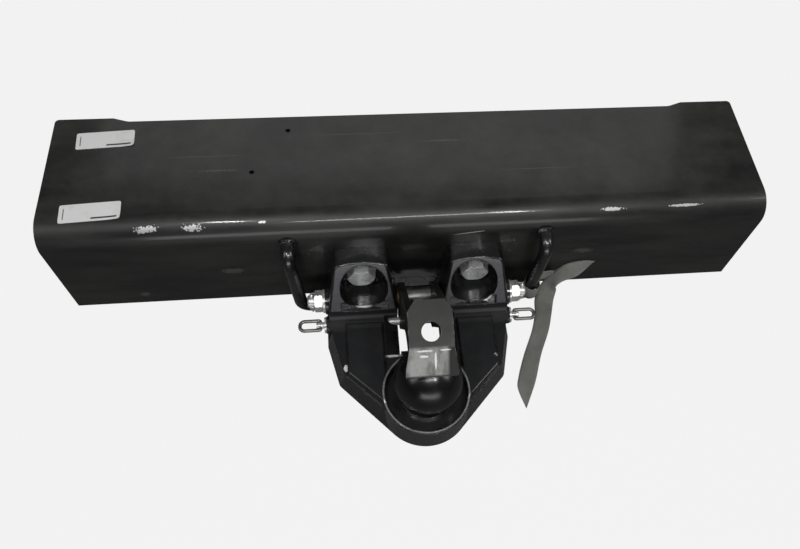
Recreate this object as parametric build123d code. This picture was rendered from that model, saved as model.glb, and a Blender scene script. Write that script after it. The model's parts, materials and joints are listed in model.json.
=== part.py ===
from build123d import *
import os
from math import atan2, cos, degrees, radians, sin, sqrt, tan

# Rear crossmember of a light truck with a bolted-on ball carrier and a hinged hold-down.
# Lengths are in millimetres. The origin is the centre of the tow ball.
# +X is to the right for someone behind the vehicle, +Y runs towards the vehicle, +Z is up.

# Places of the main pieces, measured from the ball's centre
ball_reach = 159.0            # to the outer face of the beam's front wall
ball_drop = 84.0              # from the beam's top face down to the ball's centre
base_drop = 74.0              # from the ball's centre down to the surface the part stands on

# Crossmember beam, a plate bent to an angle section
beam_length = 860.0
beam_depth = 174.0            # of the top wall, at its end tabs
beam_height = 154.0
beam_wall = 8.0
beam_bend_radius = 30.0       # outside
tab_width = 68.0              # each end tab lies on a chassis rail's flange
tab_step = 6.0
tab_slope_length = 18.0
beam_corner_radius = 5.0
location_hole_diameter = 6.0
location_holes = ((-151.0, 28.0), (-193.0, 91.0))   # x, and distance in from the rear edge

# Brackets that bolt to the chassis rails' webs
rail_web_thickness = 7.0
bracket_wall = 8.0
bracket_reach = 150.0         # along Y
bracket_flange = 60.0         # along X, against the beam's front wall
bracket_top_gap = 24.0        # below the beam's top wall, for the rail's flange
bracket_bend_radius = 14.0    # outside
rail_bolt_hole_diameter = 17.0
rail_bolt_spacing_y = 80.0
rail_bolt_spacing_z = 70.0
rail_bolt_edge = 30.0         # rear holes to the bracket's rear edge

# Gussets in the beam's corner
gusset_thickness = 6.0
gusset_depth = 120.0
gusset_height = 112.0
gusset_toe = 16.0
gusset_corner_cut = 34.0

# Plate behind the front wall that spreads the bolts' load
backing_width = 222.0
backing_thickness = 10.0
backing_edge = 26.0           # bolt centre to the plate's upper and lower edge
backing_corner_radius = 8.0

# Bolts that hold the carrier to the beam
bolt_spacing = 140.0
upper_bolt_height = 6.0       # above the ball's centre
bolt_row_spacing = 60.0
upper_bolt_diameter = 20.0
lower_bolt_diameter = 16.0
bolt_hole_clearance = 0.5     # on the radius
washer_thickness = 3.0
lower_bolt_engagement = 34.0  # length in the carrier

# Ball carrier: the forging with two arms and a round well at its nose
well_radius = 50.0
well_depth = 16.0
well_floor = 12.0
rim_height = -36.0            # top of the rim, from the ball's centre
rim_width = 3.5
nose_radius = 55.5            # at the bottom
platform_height = -42.0       # top of the flat between the rim and the arms
foot_stand = 4.0              # of the bottom, beyond the arms' sides
corner_inset = 13.0           # of the bottom's front corners, from its sides
corner_reach = 28.0
shoulder_length = 53.0        # from the front corners back to where the sides run straight
corner_radius = 10.0
skirt_draft = 13.0            # degrees
skirt_wall = 12.0
arm_gap = 54.0                # between the arms, for the hold-down
arm_half_width = 112.0
arm_taper = 9.0               # from the foot to the shoulder, on the outside
arm_top_inner = 38.0
arm_top = 38.0                # crown of the arm's top, above the ball's centre
arm_shoulder = 33.0
arm_slope_bottom = -21.0
arm_root_thickness = 22.5     # at the top of the slope
arm_thickness = 55.0          # at the foot of the slope
arm_foot_radius = 14.0
arm_outer_round = 11.0
arm_inner_round = 6.0
arm_edge_round = 4.0
pocket_x = 67.5
pocket_radius = 29.0
pocket_floor = -13.0
pocket_corner_radius = 16.0
front_recess = 6.0            # below the pocket, between the strips
front_recess_height = 17.0
pocket_wall = 11.0            # left under the bolt head
web_gap = 3.0                 # from the hold-down's cheeks to the web between the arms
deck_inset = 10.0             # from the bottom's outline
deck_height = 7.0             # above the platform
deck_draft = 3.0
deck_back = 64.0              # from the beam, also where the nose and the arms are told apart
deck_side = 24.0              # in from the bottom's sides
deck_inner = 46.0             # half width of the trough between the decks
deck_edge_round = 3.0
flank_width = 17.0
flank_depth = 11.0
side_boss_stand = 4.0         # beyond the arms' sides
cavity_roof = 10.0
nut_recess_radius = 44.0

# Tow ball
ball_diameter = 80.0
neck_diameter = 44.0
collar_diameter = 62.0
collar_thickness = 6.0
shank_diameter = 30.0
ball_nut_diameter = 45.0
ball_nut_height = 7.0
lock_washer_thickness = 1.5

# Pins across the arms
pivot_back = 33.0             # from the beam
pivot_height = -32.0
pivot_diameter = 16.0
pivot_tip = 3.0               # past the castle nuts
pivot_boss_radius = 17.0
castle_nut_height = 16.0
castle_nut_flats = 24.0
stop_ahead = 25.0             # in front of the pivot
stop_below = 18.0             # under the pivot
stop_diameter = 10.0
stop_end_diameter = 8.0
stop_boss_radius = 11.0
stop_washer_diameter = 20.0
stop_washer_thickness = 2.5
loop_wire = 4.4
loop_length = 30.0
loop_pin_margin = 3.0         # wire to the washer, and the pin's end past the wire

# Hold-down over the ball
hold_width = 49.0
hold_plate = 8.0
hold_rear = (51.0, 99.0)      # y and z of the plate's rear top edge
hold_bend = (2.0, 79.0)       # y and z where the plate turns down to the lip
hold_lip_end = (-20.0, 54.0)
hold_bend_radius = 9.0
lip_width = 57.0
hold_rear_chamfer = 12.0
hold_hole_diameter = 21.0
hold_hole_back = 18.0         # along the plate, from the bend
cheek_thickness = 8.0
cheek_boss_radius = 18.0
socket_room_radius = 58.0     # kept free round the ball for a coupling socket
hold_lift = 40.0              # degrees
slot_edge = 4.5
running_clearance = 0.05      # on the radius
free_clearance = 0.3
bush_wall = 3.0
bush_flange_radius = 15.0
bush_flange = 2.0
spacer_wall = 4.0
wear_pad_thickness = 5.0
wear_pad_start = 3.0          # along the lip, from the bend
wear_pad_length = 13.0
wear_pad_width = 30.0

# Bent-bar eyes for the safety chains
eye_diameter = 16.0
eye_room = 16.0               # from the pivot pin's end to the bar's middle, at the top
eye_height = 53.0
eye_standoff = 22.0
eye_bend_radius = 14.0
eye_lean = 7.0                # how far the bar comes in towards its foot
eye_foot_height = -60.0
eye_collar_diameter = 22.0
eye_collar_thickness = 3.0
eye_boss_radius = 9.5
eye_boss_stand = 7.0          # beyond the arms' sides

# Loose strip of tape looped round the right chain eye
tape_width = 22.0
tape_thickness = 1.6
tape_clearance = 0.8          # to the steel and to the surface the part stands on
tape_tail_length = 57.0       # short tail along the beam
tape_tail_height = -17.0      # of the tail's upper edge
tape_fold = 20.0              # from the bar to the tail's fold
tape_path = ((17.0, 124.0), (8.0, 90.0), (-14.0, 46.0), (-26.0, 8.0), (-30.0, -18.0))   # x from the bar, y

# Values worked out from those above
face_y = ball_reach
pivot_reach = face_y - pivot_back
carrier_half_width = arm_half_width + foot_stand
corner_half_width = carrier_half_width - corner_inset
shoulder_reach = corner_reach + shoulder_length
arm_top_half_width = arm_half_width - arm_taper
deck_rear = face_y - deck_back
deck_outer = carrier_half_width - deck_side
inner_face_y = face_y + beam_wall
top_z = ball_drop
roof_z = top_z - beam_wall
base_z = -base_drop
beam_bottom_z = top_z - beam_height
beam_rear_y = face_y + beam_depth
half_gap = arm_gap / 2
bolt_x = bolt_spacing / 2
lower_bolt_height = upper_bolt_height - bolt_row_spacing
side_boss_reach = arm_half_width + side_boss_stand
eye_boss_reach = arm_half_width + eye_boss_stand
pivot_half_length = side_boss_reach + washer_thickness + castle_nut_height + pivot_tip
stop_reach = pivot_reach - stop_ahead
stop_height = pivot_height - stop_below
eye_x = pivot_half_length + eye_room
eye_low_x = eye_x - eye_lean
tape_fold_x = eye_x + tape_fold
tape_tail_x = tape_fold_x + tape_tail_length
pocket_y = face_y - pocket_wall
backing_y = inner_face_y + backing_thickness
well_floor_z = rim_height - well_depth
floor_bottom_z = well_floor_z - well_floor
big = 400.0


def along_x(outline, x_from, x_to):
    """Solid from an outline drawn in y and z, between two values of x."""
    return extrude(Plane.YZ.offset(x_from) * outline, x_to - x_from, dir=(1, 0, 0))


def along_y(outline, y_from, y_to):
    """Solid from an outline drawn in x and z, between two values of y."""
    return extrude(Plane.XZ.offset(-y_from) * outline, y_to - y_from, dir=(0, 1, 0))


def along_z(outline, z_from, z_to):
    """Solid from an outline drawn in x and y, between two values of z."""
    return extrude(Plane.XY.offset(z_from) * outline, z_to - z_from, dir=(0, 0, 1))


def rod_x(radius, x_from, x_to, y, z):
    """Round bar along X."""
    return Pos((x_from + x_to) / 2, y, z) * Rot(0, 90, 0) * Cylinder(radius, abs(x_to - x_from))


def rod_y(radius, y_from, y_to, x, z):
    """Round bar along Y."""
    return Pos(x, (y_from + y_to) / 2, z) * Rot(90, 0, 0) * Cylinder(radius, abs(y_to - y_from))


def tube_x(outer, inner, x_from, x_to, y, z):
    """Tube or washer along X."""
    return rod_x(outer, x_from, x_to, y, z) - rod_x(inner, x_from, x_to, y, z)


def middle_of(first, second):
    """Point halfway between two points."""
    return tuple((a + b) / 2 for a, b in zip(first, second))


def round_bar(points, radius, bend):
    """Round bar through the points, bent at each inner point."""
    bar = Part()
    for edge in FilletPolyline(*points, radius=bend).edges():
        start = Plane(origin=edge @ 0, z_dir=edge % 0)
        if edge.geom_type == GeomType.LINE:
            bar += start * Cylinder(radius, edge.length, align=(Align.CENTER, Align.CENTER, Align.MIN))
        else:
            turn = (edge @ 0 - edge.arc_center).cross(edge @ 1 - edge.arc_center)
            bar += revolve(start * Circle(radius), Axis(edge.arc_center, turn), degrees(edge.length / bend))
    return bar


def both_sides(part):
    """The part and its mirror image across the middle of the beam."""
    return part, mirror(part, about=Plane.YZ)


def outline_from(points):
    """Flat outline through the points, closed."""
    return make_face(Polyline(*points, close=True))


def hex_prism(flats, height):
    """Hexagon on z = 0 with both end faces' corners turned off."""
    corner = flats / sqrt(3)
    blank = Cylinder(corner, height, align=(Align.CENTER, Align.CENTER, Align.MIN))
    blank = chamfer(blank.edges().filter_by(GeomType.CIRCLE), (corner - flats / 2) * 0.7)
    return extrude(RegularPolygon(flats / 2, 6, major_radius=False), height) & blank


def hex_bolt(diameter, flats, head, length):
    """Hexagon bolt: the head stands above z = 0 and the shank runs down."""
    shank = Pos(0, 0, -length / 2) * Cylinder(diameter / 2, length)
    shank = chamfer(shank.edges().sort_by(Axis.Z)[0], diameter * 0.08)
    return hex_prism(flats, head) + shank


def castle_nut(diameter, flats, height):
    """Slotted nut on z = 0: a hexagon with a round, six-slotted crown."""
    crown = height * 0.35
    nut = hex_prism(flats, height - crown)
    nut += Pos(0, 0, height - crown / 2) * Cylinder(flats * 0.43, crown)
    nut -= Pos(0, 0, height / 2) * Cylinder(diameter / 2 + running_clearance, height)
    for turn in range(3):
        slot = Pos(0, 0, height - crown / 2) * Rot(0, 0, 60 * turn) * Box(flats, flats * 0.17, crown)
        nut -= slot
    return nut


# The beam and what is welded to it

def bolt_hole(diameter, x, z):
    """Clearance hole through the front wall and whatever lies against it."""
    return rod_y(diameter / 2 + bolt_hole_clearance, face_y - 1, backing_y + 1, x, z)


def make_beam():
    """Bent plate with two end tabs on its rear edge, bolt holes and location holes."""
    section = outline_from([
        (face_y, beam_bottom_z), (face_y, top_z), (beam_rear_y, top_z),
        (beam_rear_y, roof_z), (inner_face_y, roof_z), (inner_face_y, beam_bottom_z),
    ])
    section = fillet(section.vertices().sort_by_distance((face_y, top_z, 0))[0], beam_bend_radius)
    inner_corner = section.vertices().sort_by_distance((inner_face_y, roof_z, 0))[0]
    section = fillet(inner_corner, beam_bend_radius - beam_wall)
    beam = along_x(section, -beam_length / 2, beam_length / 2) - tab_relief()
    tab_corners = beam.edges().filter_by(Axis.Z).group_by(Axis.Y)[-1].sort_by(Axis.X)
    beam = fillet([tab_corners[0], tab_corners[-1]], beam_corner_radius)
    for x in (-bolt_x, bolt_x):
        beam -= bolt_hole(upper_bolt_diameter, x, upper_bolt_height)
        beam -= bolt_hole(lower_bolt_diameter, x, lower_bolt_height)
    for x, inset in location_holes:
        beam -= Pos(x, beam_rear_y - inset, roof_z) * Cylinder(location_hole_diameter / 2, big)
    for x in (-eye_x, eye_x):
        beam -= rod_y(eye_diameter / 2 + running_clearance, face_y - 1, inner_face_y + 1, x, eye_height)
    return beam


def tab_relief():
    """What is cut from the rear edge between the end tabs."""
    step = beam_length / 2 - tab_width
    relief = outline_from([
        (-step, beam_rear_y + 1), (-step, beam_rear_y),
        (-step + tab_slope_length, beam_rear_y - tab_step),
        (step - tab_slope_length, beam_rear_y - tab_step),
        (step, beam_rear_y), (step, beam_rear_y + 1),
    ])
    relief = fillet(relief.vertices().group_by(Axis.Y)[0], tab_slope_length)
    return along_z(relief, roof_z - 1, top_z + 1)


def make_right_rail_bracket():
    """Bent plate: one leg on the beam's front wall, the other on the rail's web."""
    outer_x = beam_length / 2 - rail_web_thickness
    inner_x = outer_x - bracket_wall
    rear_y = inner_face_y + bracket_reach
    plan = outline_from([
        (outer_x, inner_face_y), (outer_x, rear_y), (inner_x, rear_y),
        (inner_x, inner_face_y + bracket_wall),
        (outer_x - bracket_flange, inner_face_y + bracket_wall), (outer_x - bracket_flange, inner_face_y),
    ])
    plan = fillet(plan.vertices().sort_by_distance((outer_x, inner_face_y, 0))[0], bracket_bend_radius)
    inner_corner = plan.vertices().sort_by_distance((inner_x, inner_face_y + bracket_wall, 0))[0]
    plan = fillet(inner_corner, bracket_bend_radius - bracket_wall)
    bracket = along_z(plan, base_z, roof_z - bracket_top_gap)
    rear_corners = bracket.edges().filter_by(Axis.X).group_by(Axis.Y)[-1]
    bracket = fillet(rear_corners, bracket_bend_radius)
    for y, z in rail_bolt_places():
        bracket -= rod_x(rail_bolt_hole_diameter / 2, inner_x - 1, outer_x + 1, y, z)
    return bracket


def rail_bolt_places():
    """Centres of the four holes for the rail's bolts, in y and z."""
    rear = inner_face_y + bracket_reach - rail_bolt_edge
    middle = (base_z + roof_z - bracket_top_gap) / 2
    return [(y, middle + z * rail_bolt_spacing_z / 2)
            for y in (rear - rail_bolt_spacing_y, rear) for z in (-1, 1)]


def make_right_gusset():
    """Triangular plate in the beam's corner, cut clear of the bend."""
    outline = outline_from([
        (inner_face_y, roof_z - gusset_corner_cut), (inner_face_y + gusset_corner_cut, roof_z),
        (inner_face_y + gusset_depth, roof_z), (inner_face_y + gusset_depth, roof_z - gusset_toe),
        (inner_face_y + gusset_toe, roof_z - gusset_height), (inner_face_y, roof_z - gusset_height),
    ])
    inner_x = backing_width / 2 + gusset_thickness / 2
    return along_x(outline, inner_x, inner_x + gusset_thickness)


def make_backing_plate():
    """Plate with rounded corners behind the front wall, under the nuts and bolt heads."""
    low = max(lower_bolt_height - backing_edge, base_z + 2)
    high = upper_bolt_height + backing_edge
    face = Pos(0, (low + high) / 2) * RectangleRounded(backing_width, high - low, backing_corner_radius)
    plate = along_y(face, inner_face_y, backing_y)
    for x in (-bolt_x, bolt_x):
        plate -= bolt_hole(upper_bolt_diameter, x, upper_bolt_height)
        plate -= bolt_hole(lower_bolt_diameter, x, lower_bolt_height)
    return plate


# The ball carrier

def carrier_plan(inset):
    """The low body seen from above: straight flanks that run in to a round nose."""
    beyond = face_y + carrier_half_width
    half = carrier_half_width - inset
    corner = corner_half_width - inset
    flanks = Polyline(
        (-half, beyond), (half, beyond), (half, shoulder_reach), (corner, corner_reach),
        (-corner, corner_reach), (-half, shoulder_reach), close=True,
    )
    plan = make_hull(flanks.edges() + Circle(nose_radius - inset).edges())
    corners = [plan.vertices().sort_by_distance((side * corner, corner_reach, 0))[0] for side in (-1, 1)]
    return fillet(corners, corner_radius)


def carrier_base():
    """Low drafted body that the arms, the decks and the well stand on."""
    inset = (platform_height - base_z) * tan(radians(skirt_draft))
    base = loft([Pos(0, 0, base_z) * carrier_plan(0), Pos(0, 0, platform_height) * carrier_plan(inset)],
                ruled=True)
    return base - Pos(0, face_y + big / 2, 0) * Box(big, big, big)


def well_cup():
    """Cone-shaped wall of the well, which stands above the platform as a thin rim."""
    wall = outline_from([
        (0, base_z), (nose_radius, base_z), (well_radius + rim_width, rim_height), (0, rim_height),
    ])
    return revolve(Plane.XZ * wall, Axis.Z)


def right_arm():
    """Arm with a sloping face, a shallow arched top and a foot that runs out into the platform."""
    front = face_y - arm_thickness
    foot = Polyline(
        (face_y, base_z), (face_y, arm_top), (face_y - arm_root_thickness, arm_top),
        (front, arm_slope_bottom), (front, platform_height + arm_foot_radius),
    )
    blend = RadiusArc((front, platform_height + arm_foot_radius),
                      (front - arm_foot_radius, platform_height), arm_foot_radius)
    ground = Polyline((front - arm_foot_radius, platform_height), (front - arm_foot_radius, base_z),
                      (face_y, base_z))
    side_view = make_face(foot.edges() + blend.edges() + ground.edges())
    middle = (arm_top_inner + arm_top_half_width) / 2
    sides = Polyline(
        (arm_top_inner, arm_shoulder), (half_gap, arm_slope_bottom), (half_gap, base_z),
        (arm_half_width, base_z), (arm_half_width, arm_slope_bottom), (arm_top_half_width, arm_shoulder),
    )
    crown = ThreePointArc(
        (arm_top_half_width, arm_shoulder), (middle, arm_top), (arm_top_inner, arm_shoulder))
    front_view = make_face(sides.edges() + crown.edges())
    for x, radius in ((arm_top_half_width, arm_outer_round), (arm_top_inner, arm_inner_round)):
        front_view = fillet(front_view.vertices().sort_by_distance((x, arm_shoulder, 0))[0], radius)
    arm = along_x(side_view, 0, arm_half_width + 1) & along_y(front_view, 0, face_y)
    slope = arm.faces().sort_by_distance((pocket_x, front, arm_slope_bottom + 5))[0]
    sharp = slope.edges().filter_by(lambda edge: edge.center().Z > arm_slope_bottom + 1)
    arm = fillet(sharp, arm_edge_round)
    arm -= right_pocket()
    return arm


def right_pocket():
    """Arched pocket for the bolt head, with a rounded floor."""
    width = 2 * pocket_radius
    arch = Pos(pocket_x, upper_bolt_height) * Circle(pocket_radius)
    floor_height = upper_bolt_height - pocket_floor
    channel = Pos(pocket_x, upper_bolt_height - floor_height / 2) * Rectangle(width, floor_height)
    channel = fillet(channel.vertices().group_by(Axis.Y)[0], pocket_corner_radius)
    pocket = along_y(arch + channel, 0, pocket_y)
    lip = Pos(pocket_x, pocket_floor + pocket_corner_radius - front_recess_height / 2) * Rectangle(
        width, front_recess_height + pocket_corner_radius)
    return pocket + along_y(lip, 0, face_y - arm_thickness + front_recess)


def right_deck():
    """Raised deck that runs from the arm's foot to the rim, with a ledge at its rear."""
    low = Pos(0, 0, platform_height) * carrier_plan(deck_inset)
    high = Pos(0, 0, platform_height + deck_height) * carrier_plan(deck_inset + deck_draft)
    deck = loft([low, high], ruled=True)
    width = deck_outer - deck_inner
    deck &= Pos(deck_inner + width / 2, deck_rear - big / 2, 0) * Box(width, big, big)
    top = deck.faces().sort_by(Axis.Z)[-1]
    sharp = top.edges().filter_by(lambda edge: edge.center().Y > nose_radius * 0.5)
    return fillet(sharp, deck_edge_round)


def right_flank():
    """Wedge cut from the platform beside the gap between the arms."""
    outer = half_gap + flank_width
    top = platform_height + deck_height
    wedge = outline_from([
        (half_gap - 1, platform_height - flank_depth), (outer, platform_height),
        (outer, top), (half_gap - 1, top),
    ])
    return along_y(wedge, nose_radius - 4, face_y - arm_thickness)


def right_side_bosses():
    """Flat round bosses for the pins' washers and the chain eye's foot."""
    inside = corner_half_width - skirt_wall
    bosses = rod_x(pivot_boss_radius, inside, side_boss_reach, pivot_reach, pivot_height)
    bosses += rod_x(stop_boss_radius, inside, side_boss_reach, stop_reach, stop_height)
    return bosses + rod_x(eye_boss_radius, inside, eye_boss_reach, face_y - eye_standoff, eye_foot_height)


def right_cavity():
    """Hollow under the platform between the well, the skirt and the arm."""
    inner_x = half_gap + skirt_wall
    rear = stop_reach - stop_boss_radius - 4
    pocket = outline_from([
        (inner_x, nose_radius * 0.2), (inner_x, rear), (carrier_half_width - 2 * skirt_wall, rear),
        (corner_half_width - 2 * skirt_wall, corner_reach + skirt_wall), (nose_radius, -nose_radius * 0.02),
    ])
    pocket -= Circle(nose_radius + skirt_wall * 0.4)
    pocket = fillet(pocket.vertices(), 5)
    return along_z(pocket, base_z - 1, platform_height - cavity_roof)


def whole_carrier():
    """Forging with two arms, a gap for the hold-down and a round well for the ball."""
    carrier = carrier_base() + well_cup()
    for part in both_sides(right_arm()):
        carrier += part
    for part in both_sides(right_deck()):
        carrier += part
    for part in both_sides(right_side_bosses()):
        carrier += part
    carrier -= gap_between_arms()
    for cut in (right_flank(), right_cavity()):
        for part in both_sides(cut):
            carrier -= part
    carrier -= Pos(0, 0, well_floor_z) * Cylinder(
        well_radius, big, align=(Align.CENTER, Align.CENTER, Align.MIN))
    carrier -= Pos(0, 0, floor_bottom_z) * Cylinder(
        nut_recess_radius, big, align=(Align.CENTER, Align.CENTER, Align.MAX))
    carrier -= Cylinder(shank_diameter / 2 + running_clearance, big)
    carrier -= rod_x(pivot_diameter / 2 + running_clearance, -big, big, pivot_reach, pivot_height)
    carrier -= rod_x(stop_diameter / 2 + running_clearance, -big, big, stop_reach, stop_height)
    for x in (-bolt_x, bolt_x):
        carrier -= rod_y(upper_bolt_diameter / 2 + bolt_hole_clearance, pocket_y - 1, face_y + 1,
                         x, upper_bolt_height)
        carrier -= rod_y(lower_bolt_diameter / 2 + running_clearance, lower_bolt_tip() - 2, face_y + 1,
                         x, lower_bolt_height)
    return carrier


def split_carrier(whole):
    """The forging as four solids that meet on flat faces, so that each stays simple in collision."""
    behind = deck_rear + big / 2
    arm_half = Pos(half_gap + big / 2, behind, 0) * Box(big, big, big)
    nose = whole - Pos(0, behind, 0) * Box(big, big, big)
    right = whole & arm_half
    web = whole & Pos(0, behind, 0) * Box(arm_gap, big, big)
    return nose, right, web


def gap_between_arms():
    """Opening between the arms, through to the floor, closed at the back by the web."""
    web_face = pivot_reach + cheek_boss_radius + web_gap
    return Pos(0, (nose_radius + web_face) / 2, 0) * Box(arm_gap, web_face - nose_radius, big)


def lower_bolt_tip():
    """Where the lower bolts end in the carrier, along Y."""
    return face_y - lower_bolt_engagement


# Ball, nut and washer

def make_tow_ball():
    """Ball, neck, collar and shank turned from one bar."""
    radius = ball_diameter / 2
    neck = neck_diameter / 2
    waist = sqrt(radius ** 2 - neck ** 2)
    collar_z = well_floor_z + collar_thickness
    shank = shank_diameter / 2
    tip = floor_bottom_z - lock_washer_thickness - ball_nut_height
    side = Polyline(
        (neck, -waist), (neck, collar_z), (collar_diameter / 2, collar_z),
        (collar_diameter / 2, well_floor_z), (shank, well_floor_z), (shank, tip), (0, tip), (0, radius),
    )
    sphere = ThreePointArc((0, radius), (radius, 0), (neck, -waist))
    return revolve(Plane.XZ * make_face(side.edges() + sphere.edges()), Axis.Z)


def make_ball_nut():
    """Thin round nut with four spanner slots."""
    nut = Cylinder(ball_nut_diameter / 2, ball_nut_height) - Cylinder(
        shank_diameter / 2 + running_clearance, ball_nut_height)
    for turn in (0, 90):
        for side in (-1, 1):
            nut -= Rot(0, 0, turn) * Pos(side * ball_nut_diameter / 2, 0) * Box(5, 6, ball_nut_height)
    return Pos(0, 0, floor_bottom_z - lock_washer_thickness - ball_nut_height / 2) * nut


def make_ball_lock_washer():
    """Thin washer between the ball's nut and the well's floor."""
    ring = Cylinder(ball_nut_diameter / 2, lock_washer_thickness) - Cylinder(
        shank_diameter / 2 + running_clearance, lock_washer_thickness)
    return Pos(0, 0, floor_bottom_z - lock_washer_thickness / 2) * ring


# Fasteners of the carrier

def make_upper_bolts():
    """Two bolts whose heads sit in the arms' pockets."""
    under_head = pocket_y - washer_thickness
    length = backing_y + washer_thickness + 0.8 * upper_bolt_diameter + 4 - under_head
    bolt = hex_bolt(upper_bolt_diameter, 1.5 * upper_bolt_diameter, 0.625 * upper_bolt_diameter, length)
    return Compound(children=[Pos(x, under_head, upper_bolt_height) * Rot(90, 0, 0) * bolt
                              for x in (-bolt_x, bolt_x)])


def make_upper_washers():
    """Washers under the upper bolts' heads and nuts."""
    radius = upper_bolt_diameter * 0.925
    washers = []
    for x in (-bolt_x, bolt_x):
        for start in (pocket_y - washer_thickness, backing_y):
            ring = rod_y(radius, start, start + washer_thickness, x, upper_bolt_height)
            hole = rod_y(upper_bolt_diameter / 2 + bolt_hole_clearance, start, start + washer_thickness,
                         x, upper_bolt_height)
            washers.append(ring - hole)
    return Compound(children=washers)


def make_upper_nuts():
    """Nuts on the upper bolts, inside the beam."""
    height = 0.8 * upper_bolt_diameter
    nut = hex_prism(1.5 * upper_bolt_diameter, height) - Cylinder(
        upper_bolt_diameter / 2 + running_clearance, big)
    return Compound(children=[Pos(x, backing_y + washer_thickness, upper_bolt_height) * Rot(-90, 0, 0) * nut
                              for x in (-bolt_x, bolt_x)])


def make_lower_bolts():
    """Two bolts put in from inside the beam, into tapped holes in the arms."""
    under_head = backing_y + washer_thickness
    bolt = hex_bolt(lower_bolt_diameter, 1.5 * lower_bolt_diameter, 0.625 * lower_bolt_diameter,
                    under_head - lower_bolt_tip())
    return Compound(children=[Pos(x, under_head, lower_bolt_height) * Rot(-90, 0, 0) * bolt
                              for x in (-bolt_x, bolt_x)])


def make_lower_washers():
    """Washers under the lower bolts' heads."""
    radius = lower_bolt_diameter * 0.925
    rings = []
    for x in (-bolt_x, bolt_x):
        ring = rod_y(radius, backing_y, backing_y + washer_thickness, x, lower_bolt_height)
        rings.append(ring - rod_y(lower_bolt_diameter / 2 + bolt_hole_clearance, backing_y,
                                  backing_y + washer_thickness, x, lower_bolt_height))
    return Compound(children=rings)


# Pins across the arms

def make_pivot_pin():
    """Pin the hold-down swings on, with cross holes for its split pins."""
    pin = rod_x(pivot_diameter / 2, -pivot_half_length, pivot_half_length, pivot_reach, pivot_height)
    pin = chamfer(pin.edges().filter_by(GeomType.CIRCLE), 1.5)
    for side in (-1, 1):
        pin -= Pos(side * split_pin_x(), pivot_reach, pivot_height) * Cylinder(split_hole_radius(), big)
    return pin


def split_pin_x():
    """Where the split pins go, in the middle of the castle nuts' slots."""
    return side_boss_reach + washer_thickness + castle_nut_height * 0.825


def split_hole_radius():
    """Radius of the pivot pin's cross holes."""
    return castle_nut_flats * 0.17 / 2


def make_pivot_nuts():
    """Castle nuts on both ends of the pivot pin."""
    nut = castle_nut(pivot_diameter, castle_nut_flats, castle_nut_height)
    start = side_boss_reach + washer_thickness
    return Compound(children=[Pos(side * start, pivot_reach, pivot_height) * Rot(0, 90 * side, 0) * nut
                              for side in (-1, 1)])


def make_pivot_washers():
    """Washers between the arms' bosses and the castle nuts."""
    rings = [tube_x(pivot_diameter * 0.94, pivot_diameter / 2 + bolt_hole_clearance,
                    side * side_boss_reach, side * (side_boss_reach + washer_thickness),
                    pivot_reach, pivot_height) for side in (-1, 1)]
    return Compound(children=rings)


def make_split_pins():
    """Split pins through the castle nuts: a round eye, a stem and two legs bent apart."""
    wire = split_hole_radius() * 0.55
    reach = castle_nut_flats * 0.43 + 2 * wire
    eye_radius = 3.2 * wire
    stem = Cylinder(split_hole_radius() - running_clearance, 2 * reach)
    eye = Rot(0, 90, 0) * (Cylinder(eye_radius, 2 * wire) - Cylinder(eye_radius - 2 * wire, 2 * wire))
    legs = Box(2 * wire, castle_nut_flats * 0.6, 2 * wire)
    pin = stem + Pos(0, 0, reach + eye_radius - wire) * eye + Pos(0, 0, -reach) * legs
    return Compound(children=[Pos(side * split_pin_x(), pivot_reach, pivot_height) * pin
                              for side in (-1, 1)])


def make_pivot_spacer():
    """Tube on the pivot pin that keeps the hold-down's cheeks apart."""
    half = hold_width / 2 - cheek_thickness - free_clearance
    return tube_x(pivot_diameter / 2 + spacer_wall, pivot_diameter / 2 + running_clearance, -half, half,
                  pivot_reach, pivot_height)


def make_pivot_bushes():
    """Flanged bushes pressed into the cheeks."""
    outer = hold_width / 2
    bushes = []
    for side in (-1, 1):
        sleeve = rod_x(
            bush_radius(), side * (outer - cheek_thickness), side * outer, pivot_reach, pivot_height)
        flange = rod_x(
            bush_flange_radius, side * outer, side * (outer + bush_flange), pivot_reach, pivot_height)
        bore = rod_x(pivot_diameter / 2 + running_clearance, -big, big, pivot_reach, pivot_height)
        bushes.append(sleeve + flange - bore)
    return Compound(children=bushes)


def bush_radius():
    """Outer radius of the pivot bushes' sleeves."""
    return pivot_diameter / 2 + bush_wall


def stop_end_x():
    """Where the retaining loops pass through the stop pin, along X."""
    return side_boss_reach + stop_washer_thickness + loop_wire / 2 + loop_pin_margin


def make_stop_pin():
    """Pin that stops the hold-down at both ends of its slots, with turned-down ends."""
    pin = rod_x(stop_diameter / 2, -side_boss_reach, side_boss_reach, stop_reach, stop_height)
    end = stop_end_x() + loop_wire / 2 + loop_pin_margin
    pin += rod_x(stop_end_diameter / 2, -end, end, stop_reach, stop_height)
    for side in (-1, 1):
        pin -= rod_y(loop_wire / 2 + free_clearance, 0, face_y, side * stop_end_x(), stop_height)
    return pin


def make_stop_washers():
    """Washers on the stop pin's ends."""
    rings = [tube_x(stop_washer_diameter / 2, stop_end_diameter / 2 + running_clearance,
                    side * side_boss_reach, side * (side_boss_reach + stop_washer_thickness),
                    stop_reach, stop_height) for side in (-1, 1)]
    return Compound(children=rings)


def make_right_loop():
    """Oblong wire link through the stop pin's cross hole, lying level."""
    half = stop_end_diameter / 2 + loop_wire / 2 + free_clearance
    near = stop_end_x()
    far = near + loop_length - loop_wire
    corners = [(near, half, 0), (far, half, 0), (far, -half, 0), (near, -half, 0)]
    link = Part()
    for place, bend in ((0, loop_wire * 0.55), (1, half * 0.9), (2, half * 0.9), (3, loop_wire * 0.55)):
        before = middle_of(corners[place - 1], corners[place])
        after = middle_of(corners[place], corners[(place + 1) % 4])
        link += round_bar([before, corners[place], after], loop_wire / 2, bend)
    return Pos(0, stop_reach, stop_height) * link


# Hold-down

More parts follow.
